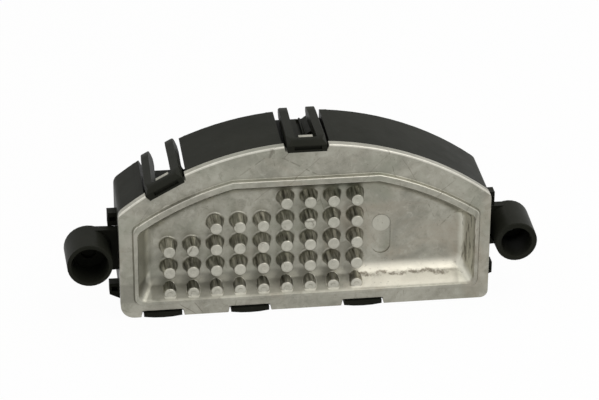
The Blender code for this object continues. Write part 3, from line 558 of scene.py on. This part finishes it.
class Shader:
    """A Principled material with short calls for its nodes."""

    def __init__(self, name, metallic=0.0):
        self.material = bpy.data.materials.new(name)
        self.material.use_nodes = True
        self.tree = self.material.node_tree
        self.shader = self.tree.nodes["Principled BSDF"]
        self.shader.inputs["Metallic"].default_value = metallic
        self.coords = self.tree.nodes.new("ShaderNodeTexCoord").outputs["Object"]

    def link(self, value, socket):
        if isinstance(value, bpy.types.NodeSocket):
            self.tree.links.new(value, socket)
        elif isinstance(value, (tuple, list)) and len(value) == 3 and socket.type == 'RGBA':
            socket.default_value = (*value, 1.0)
        else:
            socket.default_value = value

    def stretched(self, scale, turn=(0, 0, 0)):
        node = self.tree.nodes.new("ShaderNodeMapping")
        node.inputs["Scale"].default_value = scale
        node.inputs["Rotation"].default_value = [math.radians(a) for a in turn]
        self.link(self.coords, node.inputs["Vector"])
        return node.outputs["Vector"]

    def axes(self):
        """Sockets of the place on the part, by axis."""
        node = self.tree.nodes.new("ShaderNodeSeparateXYZ")
        self.link(self.coords, node.inputs[0])
        return {"x": node.outputs[0], "y": node.outputs[1], "z": node.outputs[2]}

    def noise(self, scale, detail=4.0, rough=0.55, distort=0.0, vector=None):
        """Noise with a scale in features per metre."""
        node = self.tree.nodes.new("ShaderNodeTexNoise")
        node.inputs["Scale"].default_value = scale
        node.inputs["Detail"].default_value = detail
        node.inputs["Roughness"].default_value = rough
        node.inputs["Distortion"].default_value = distort
        self.link(vector or self.coords, node.inputs["Vector"])
        return node.outputs["Fac"]

    def cracks(self, scale, vector=None):
        """Distance to the nearest cell border, 0 on the border."""
        node = self.tree.nodes.new("ShaderNodeTexVoronoi")
        node.feature = 'DISTANCE_TO_EDGE'
        node.inputs["Scale"].default_value = scale
        self.link(vector or self.coords, node.inputs["Vector"])
        return node.outputs["Distance"]

    def ramp(self, value, *stops):
        """Colour ramp over (position, colour or grey) stops."""
        node = self.tree.nodes.new("ShaderNodeValToRGB")
        elements = node.color_ramp.elements
        while len(elements) < len(stops):
            elements.new(0.5)
        for element, (position, colour) in zip(elements, stops):
            element.position = position
            element.color = (*colour, 1.0) if isinstance(colour, tuple) else (colour, colour, colour, 1.0)
        self.link(value, node.inputs["Fac"])
        return node.outputs["Color"]

    def mix(self, factor, first, second, blend='MIX'):
        node = self.tree.nodes.new("ShaderNodeMix")
        node.data_type = 'RGBA'
        node.blend_type = blend
        self.link(factor, node.inputs[0])
        self.link(first, node.inputs[6])
        self.link(second, node.inputs[7])
        return node.outputs[2]

    def math(self, operation, first, second=0.0):
        node = self.tree.nodes.new("ShaderNodeMath")
        node.operation = operation
        self.link(first, node.inputs[0])
        self.link(second, node.inputs[1])
        return node.outputs[0]

    def times(self, *values):
        product = values[0]
        for value in values[1:]:
            product = self.math('MULTIPLY', product, value)
        return product

    def clamped(self, value):
        node = self.tree.nodes.new("ShaderNodeClamp")
        self.link(value, node.inputs[0])
        return node.outputs[0]

    def below(self, value, high, fade):
        """1 up to high, going down to 0 over fade, in millimetres."""
        return self.clamped(self.math('DIVIDE', self.math('SUBTRACT', (high + fade) * MM, value), fade * MM))

    def window(self, value, low, high, fade):
        """1 between low and high, going down to 0 over fade outside, in millimetres."""
        rise = self.math('DIVIDE', self.math('SUBTRACT', value, (low - fade) * MM), fade * MM)
        fall = self.math('DIVIDE', self.math('SUBTRACT', (high + fade) * MM, value), fade * MM)
        return self.clamped(self.math('MINIMUM', rise, fall))

    def zone(self, place, limits):
        """1 within the limits along each axis that they name."""
        return self.times(*[self.window(place[axis], *limit) for axis, limit in limits.items()])

    def repeat(self, value, start, pitch):
        """Distance along one axis to the nearest of evenly spaced places, given in millimetres."""
        off = self.math('SUBTRACT', value, start * MM)
        step = self.math('ROUND', self.math('DIVIDE', off, pitch * MM))
        return self.math('SUBTRACT', off, self.math('MULTIPLY', step, pitch * MM))

    def length(self, off_x, off_z):
        squares = self.math('ADD', self.math('MULTIPLY', off_x, off_x), self.math('MULTIPLY', off_z, off_z))
        return self.math('SQRT', squares)

    def distance(self, place, x, z):
        """Distance in the XZ plane from a point given in millimetres."""
        off_x = self.math('SUBTRACT', place["x"], x * MM)
        off_z = self.math('SUBTRACT', place["z"], z * MM)
        return self.length(off_x, off_z)

    def stroke(self, place, start, end):
        """1 along a thin line between two points in the XZ plane, given in millimetres."""
        run = Vector(end) - Vector(start)
        length = run.length
        run /= length
        off_x = self.math('SUBTRACT', place["x"], start[0] * MM)
        off_z = self.math('SUBTRACT', place["z"], start[1] * MM)
        along = self.math('ADD', self.times(off_x, run.x), self.times(off_z, run.y))
        across = self.math('SUBTRACT', self.times(off_z, run.x), self.times(off_x, run.y))
        sway = self.span(self.noise(180, 2), -SCRATCH_SWAY * MM, SCRATCH_SWAY * MM)
        thin = self.window(self.math('ADD', across, sway), *SCRATCH_BAND)
        return self.times(thin, self.window(along, 0.0, length, SCRATCH_END_FADE))

    def span(self, value, low, high):
        """Stretch 0..1 to low..high."""
        node = self.tree.nodes.new("ShaderNodeMapRange")
        node.inputs["To Min"].default_value = low
        node.inputs["To Max"].default_value = high
        self.link(value, node.inputs["Value"])
        return node.outputs["Result"]

    def bump(self, height, strength, distance, normal=None):
        node = self.tree.nodes.new("ShaderNodeBump")
        node.inputs["Strength"].default_value = strength
        node.inputs["Distance"].default_value = distance
        self.link(height, node.inputs["Height"])
        if normal is not None:
            self.link(normal, node.inputs["Normal"])
        return node.outputs["Normal"]

    def finish(self, colour, roughness, normal):
        self.link(colour, self.shader.inputs["Base Color"])
        self.link(roughness, self.shader.inputs["Roughness"])
        self.link(normal, self.shader.inputs["Normal"])
        return self.material


# Materials

def metal_ground(s, blotch):
    """Clouded grey with dark and pale blotches and brown and green stains."""
    colour = s.ramp(s.noise(90, 6, 0.65, 0.8), (0.30, CLOUD_DARK), (0.50, CLOUD_MIDDLE), (0.70, CLOUD_PALE))
    colour = s.mix(s.ramp(blotch, (0.52, 0.0), (0.66, 0.55)), colour, BLOTCH_DARK)
    colour = s.mix(s.ramp(blotch, (0.32, 0.6), (0.45, 0.0)), colour, BLOTCH_PALE)
    brown = s.ramp(s.noise(34, 6, 0.65, 1.2), (0.52, 0.0), (0.70, 0.6))
    colour = s.mix(brown, colour, STAIN_BROWN)
    tilted = s.stretched((1, 1, 1), (40, 10, 70))
    green = s.ramp(s.noise(46, 4, 0.6, 0.8, tilted), (0.52, 0.0), (0.72, 0.5))
    return s.mix(green, colour, STAIN_GREEN)


def pin_mask(s, place):
    """1 on the pins, which widen from the tip to the root."""
    off_x = s.repeat(place["x"], PIN_LAST_X, PIN_PITCH)
    off_z = s.repeat(place["z"], PIN_TOP_Z, PIN_PITCH)
    depth = s.math('SUBTRACT', place["y"], (FRONT_SHIFT + PIN_END) * MM)
    reach = s.math('SUBTRACT', s.length(off_x, off_z), s.times(depth, PIN_TAPER))
    return s.times(s.zone(place, PIN_FIELD), s.below(reach, PIN_TIP + PIN_MARGIN, PIN_FADE))


def tint_pins(s, colour, place, pins, warp):
    """Painted highlight on the tips, and pale and dark painted reflections streaking the sides."""
    # Painted highlight on the pin tips
    tips = s.times(pins, s.zone(place, PIN_TIP_ZONE), s.span(warp, 0.0, 0.9))
    colour = s.mix(tips, colour, TIP_HIGHLIGHT)
    # Painted reflections: pale and dark streaks along the pin sides
    streak_noise = s.noise(1100, 3, 0.6, 0.2, s.stretched((1.0, 0.07, 0.45)))
    sides = s.times(pins, s.zone(place, PIN_SIDE_ZONE))
    colour = s.mix(s.times(sides, s.ramp(streak_noise, (0.50, 0.0), (0.60, 0.9))), colour, REFLECTION_STREAK_PALE)
    return s.mix(s.times(sides, s.ramp(streak_noise, (0.38, 0.85), (0.46, 0.0))), colour, REFLECTION_STREAK_DARK)


def tint_mark(s, colour, place, warp):
    disc = s.below(s.distance(place, PAD_X, MARK_Z), MARK_REACH, MARK_FADE)
    mark = s.times(disc, s.zone(place, MARK_ZONE), s.span(warp, 0.35, 0.75))
    return s.mix(mark, colour, MARK_PALE)


def tint_walls(s, colour, place, pins, blotch):
    """Painted highlights on the end walls and the lower right wall, and painted shade on the lower left wall
    between the pins.
    """
    # Painted highlight on the left and right end walls
    ends = s.math('MAXIMUM', s.zone(place, RIGHT_WALL), s.zone(place, LEFT_WALL))
    colour = s.mix(s.times(ends, 0.75), colour, END_WALL_HIGHLIGHT)
    # Painted highlight on the lower right wall, where no pins stand
    highlight = s.times(s.zone(place, LOW_WALL_HIGHLIGHT_ZONE), s.span(blotch, 0.3, 1.0))
    colour = s.mix(highlight, colour, LOW_WALL_HIGHLIGHT)
    # Painted shade on the lower left wall between and below the pins
    low_shade = s.zone(place, LOW_WALL_SHADE_ZONE)
    low_shade = s.math('SUBTRACT', low_shade, s.times(low_shade, pins))
    return s.mix(s.times(low_shade, 0.6), colour, LOW_WALL_SHADE)


def tint_edges(s, colour, place, warp):
    """Painted highlight lines on the flange's arched edge and on the rim's crest."""
    arch = s.window(s.distance(place, *ARCH), *PLATE_EDGE_BAND)
    edge = s.times(arch, s.zone(place, PLATE_EDGE_ZONE))
    # Painted highlight lines on the arched edge and the rim's crest
    highlight = s.math('MAXIMUM', edge, s.zone(place, RIM_CREST))
    return s.mix(s.times(highlight, s.span(warp, 0.3, 1.0)), colour, EDGE_HIGHLIGHT)


def add_scratches(s, colour, place, warp):
    for start, end, strength in SCRATCHES:
        share = s.times(s.stroke(place, start, end), s.span(warp, 0.0, strength))
        colour = s.mix(share, colour, SCRATCH_DARK)
    return colour


def add_hair_cracks(s, colour, warp):
    web = s.cracks(70, s.stretched((1.0, 1.0, 0.55), (0, 24, 0)))
    patches = s.noise(60, 2, 0.5, 0.0, s.stretched((1, 1, 1), (15, 50, 5)))
    part = s.times(s.ramp(warp, (0.44, 0.0), (0.56, 1.0)), s.ramp(patches, (0.50, 0.0), (0.58, 1.0)))
    return s.mix(s.times(s.ramp(web, (0.002, 0.75), (0.009, 0.0)), part), colour, HAIR_DARK)


def add_flow_line(s, colour, place):
    """Ragged dark line along the lower right wall."""
    sway = s.span(s.noise(240, 5, 0.7), -FLOW_SWAY * MM, FLOW_SWAY * MM)
    line = s.times(s.window(s.math('ADD', place["z"], sway), *FLOW_BAND), s.zone(place, FLOW_ZONE))
    broken = s.ramp(s.noise(620, 4, 0.7), (0.42, 0.0), (0.56, 0.8))
    return s.mix(s.times(line, broken), colour, FLOW_DARK)


def add_wear(s, colour, place):
    """Dark pits all over, and drag marks near the right end of the rim."""
    colour = s.mix(s.ramp(s.noise(1500, 3, 0.65), (0.27, 0.6), (0.36, 0.0)), colour, PIT_DARK)
    drag = s.noise(900, 3, 0.6, 0.3, s.stretched((1.0, 1.0, 0.18), (0, 8, 0)))
    worn = s.times(s.ramp(drag, (0.52, 0.0), (0.60, 0.8)), s.zone(place, WORN_EDGE))
    return s.mix(worn, colour, WORN_DARK)


def metal_relief(s):
    normal = s.bump(s.noise(130, 3, 0.55), 0.22, 0.0006)
    normal = s.bump(s.noise(700, 5, 0.6), 0.22, 0.00012, normal)
    streak_noise = s.noise(420, 2, 0.5, 0.0, s.stretched((1.0, 1.0, 0.06), (0, 20, 0)))
    return s.bump(streak_noise, 0.12, 0.0001, normal)


def cast_aluminium():
    """Die-cast alloy: mottled grey with stains, pits, hair cracks, scratches and a flow line, plus painted
    highlights, painted reflections and painted shade.
    """
    s = Shader("cast_aluminium_worn_and_painted_light", metallic=0.86)
    place = s.axes()
    blotch = s.noise(380, 5, 0.7, 0.5)
    warp = s.noise(500, 4, 0.7)
    pins = pin_mask(s, place)
    colour = metal_ground(s, blotch)
    colour = tint_pins(s, colour, place, pins, warp)
    colour = tint_mark(s, colour, place, warp)
    colour = tint_walls(s, colour, place, pins, blotch)
    colour = tint_edges(s, colour, place, warp)
    colour = add_scratches(s, colour, place, warp)
    colour = add_hair_cracks(s, colour, warp)
    colour = add_flow_line(s, colour, place)
    colour = add_wear(s, colour, place)
    return s.finish(colour, s.span(s.noise(140, 4, 0.6), 0.30, 0.50), metal_relief(s))


def black_plastic():
    """Black plastic with a faint moulded grain and dusty specks."""
    s = Shader("black_plastic_satin")
    s.shader.inputs["Specular IOR Level"].default_value = PLASTIC_SPECULAR
    colour = s.ramp(s.noise(60, 4, 0.6, 0.4), (0.35, PLASTIC_DARK), (0.70, PLASTIC_PALE))
    colour = s.mix(s.ramp(s.noise(900, 3, 0.7), (0.66, 0.0), (0.74, 0.35)), colour, DUST)
    rough = s.span(s.noise(220, 4, 0.6), 0.34, 0.50)
    normal = s.bump(s.noise(180, 3, 0.5), 0.12, 0.0004)
    normal = s.bump(s.noise(2600, 3, 0.6), 0.08, 0.00005, normal)
    return s.finish(colour, rough, normal)


def speckled(name, dark, light, roughness, metallic, scale):
    """Two-tone surface with fine grain, for the small pieces."""
    s = Shader(name, metallic=metallic)
    colour = s.ramp(s.noise(scale, 4, 0.6), (0.3, dark), (0.7, light))
    rough = s.span(s.noise(scale * 2, 3, 0.5), roughness - 0.07, roughness + 0.07)
    normal = s.bump(s.noise(scale * 6, 3, 0.6), 0.1, 0.00005)
    return s.finish(colour, rough, normal)


def dress(name, material):
    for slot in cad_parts[name].material_slots:
        slot.material = material


def dress_small_pieces():
    tin = speckled("tinned_brass", (0.50, 0.49, 0.45), (0.68, 0.67, 0.63), 0.28, 1.0, 500)
    zinc = speckled("zinc_steel", (0.42, 0.43, 0.45), (0.62, 0.63, 0.65), 0.35, 1.0, 600)
    epoxy = speckled("package_epoxy", (0.018, 0.018, 0.018), (0.035, 0.035, 0.034), 0.6, 0.0, 800)
    green = speckled("board_mask", (0.010, 0.085, 0.035), (0.016, 0.13, 0.055), 0.4, 0.0, 400)
    pad = speckled("silicone_pad", (0.34, 0.36, 0.38), (0.46, 0.48, 0.50), 0.8, 0.0, 500)
    can = speckled("can_aluminium", (0.55, 0.56, 0.58), (0.74, 0.75, 0.77), 0.3, 1.0, 500)
    ferrite = speckled("ferrite", (0.06, 0.06, 0.065), (0.11, 0.11, 0.12), 0.7, 0.0, 700)
    alloy = speckled("resistor_alloy", (0.38, 0.33, 0.27), (0.52, 0.46, 0.38), 0.4, 1.0, 500)
    dressed = {tin: ("motor_blade_1", "motor_blade_2", "supply_blade_1", "supply_blade_2", "signal_pin_1",
                     "signal_pin_2"),
               zinc: ("clamp_spring", "clamp_screw", "board_screw_1", "board_screw_2", "board_screw_3"),
               epoxy: ("power_transistor_1", "power_transistor_2", "control_chip"),
               green: ("circuit_board",),
               pad: ("thermal_pad_1", "thermal_pad_2"),
               can: ("capacitor_1", "capacitor_2"),
               ferrite: ("choke",),
               alloy: ("shunt_resistor",)}
    for material, names in dressed.items():
        for name in names:
            dress(name, material)


def place(piece, node, material):
    """Let a finer piece stand in for a CAD node."""
    piece.data.materials.append(material)
    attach(piece, "root")
    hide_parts(node)


# Floor, lights and camera

def seen_or_mirrored(tree):
    """1 for camera, glossy and transmission rays: the white surroundings show in mirror images too."""
    path = tree.nodes.new("ShaderNodeLightPath")
    share = path.outputs["Is Camera Ray"]
    for name in ("Is Glossy Ray", "Is Transmission Ray"):
        node = tree.nodes.new("ShaderNodeMath")
        node.operation = 'MAXIMUM'
        tree.links.new(share, node.inputs[0])
        tree.links.new(path.outputs[name], node.inputs[1])
        share = node.outputs[0]
    return share


def floor_material():
    """White where the camera or a mirror image shows it, and plain pale paint for all other light."""
    material = bpy.data.materials.new("floor_white")
    material.use_nodes = True
    tree = material.node_tree
    diffuse = tree.nodes["Principled BSDF"]
    diffuse.inputs["Base Color"].default_value = (*FLOOR_COLOUR, 1.0)
    diffuse.inputs["Roughness"].default_value = 0.9
    diffuse.inputs["Specular IOR Level"].default_value = 0.1
    glow = tree.nodes.new("ShaderNodeEmission")
    glow.inputs["Color"].default_value = (*WHITE, 1.0)
    share = tree.nodes.new("ShaderNodeMath")
    share.operation = 'MULTIPLY'
    share.inputs[1].default_value = FLOOR_GLOW
    tree.links.new(seen_or_mirrored(tree), share.inputs[0])
    mix = tree.nodes.new("ShaderNodeMixShader")
    tree.links.new(share.outputs[0], mix.inputs[0])
    tree.links.new(diffuse.outputs[0], mix.inputs[1])
    tree.links.new(glow.outputs[0], mix.inputs[2])
    tree.links.new(mix.outputs[0], tree.nodes["Material Output"].inputs["Surface"])
    return material


def make_floor():
    bm = bmesh.new()
    bmesh.ops.create_grid(bm, x_segments=1, y_segments=1, size=FLOOR_HALF)
    floor = linked_object("floor", bm)
    floor.location.z = -FLOOR_DROP
    floor.data.materials.append(floor_material())


def make_world():
    world = bpy.data.worlds.new("studio")
    bpy.context.scene.world = world
    world.use_nodes = True
    tree = world.node_tree
    mix = tree.nodes.new("ShaderNodeMix")
    mix.data_type = 'RGBA'
    mix.inputs[6].default_value = (*SKY, 1.0)
    mix.inputs[7].default_value = (*WHITE, 1.0)
    tree.links.new(seen_or_mirrored(tree), mix.inputs[0])
    tree.links.new(mix.outputs[2], tree.nodes["Background"].inputs["Color"])


def area_light(name, spot, size, power, colour):
    """Rectangular lamp facing straight down."""
    data = bpy.data.lights.new(name, 'AREA')
    data.shape = 'RECTANGLE'
    data.size, data.size_y = size
    data.energy = power
    data.color = colour
    lamp = bpy.data.objects.new(name, data)
    bpy.context.scene.collection.objects.link(lamp)
    lamp.location = spot


def make_camera():
    data = bpy.data.cameras.new("camera")
    data.lens = CAMERA_LENS
    data.sensor_width = CAMERA_SENSOR
    data.sensor_fit = 'HORIZONTAL'
    data.clip_start = CAMERA_NEAR
    camera = bpy.data.objects.new("camera", data)
    camera.location = CAMERA_PLACE
    camera.rotation_euler = [math.radians(a) for a in CAMERA_TURN]
    bpy.context.scene.collection.objects.link(camera)
    bpy.context.scene.camera = camera


def main():
    place(make_heat_sink(), "heat_sink", cast_aluminium())
    place(make_housing(), "housing", black_plastic())
    dress_small_pieces()
    make_floor()
    make_world()
    for lamp in LAMPS:
        area_light(*lamp)
    make_camera()
    bpy.context.scene.view_settings.view_transform = 'Standard'


main()
